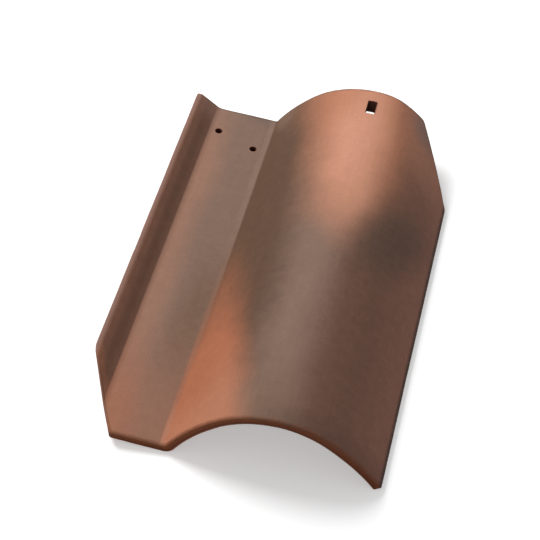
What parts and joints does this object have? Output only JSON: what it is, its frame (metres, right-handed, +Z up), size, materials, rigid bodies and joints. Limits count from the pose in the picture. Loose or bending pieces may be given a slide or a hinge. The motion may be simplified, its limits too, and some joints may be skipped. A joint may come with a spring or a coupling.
{
  "type": "spanish s roof tile",
  "caption": "Fired clay Spanish S roof tile: flat pan with an upturned flange, arched barrel, nail holes in the pan, a tie hole in the crown and two clipped corners.",
  "frame": {"origin": "centre of the bounding box at its base, with the tile lying as it rests on a level floor", "axes": "+Y from the foot (lower end on the roof) to the head, +X from the flange to the barrel's edge, +Z up"},
  "size_m": [0.2858, 0.457, 0.0708],
  "materials": {
    "fired_clay": "matte unglazed, blended from pale salmon to dark brown"
  },
  "bodies": {
    "root": {"tile": "fired_clay"}
  },
  "joints": []
}
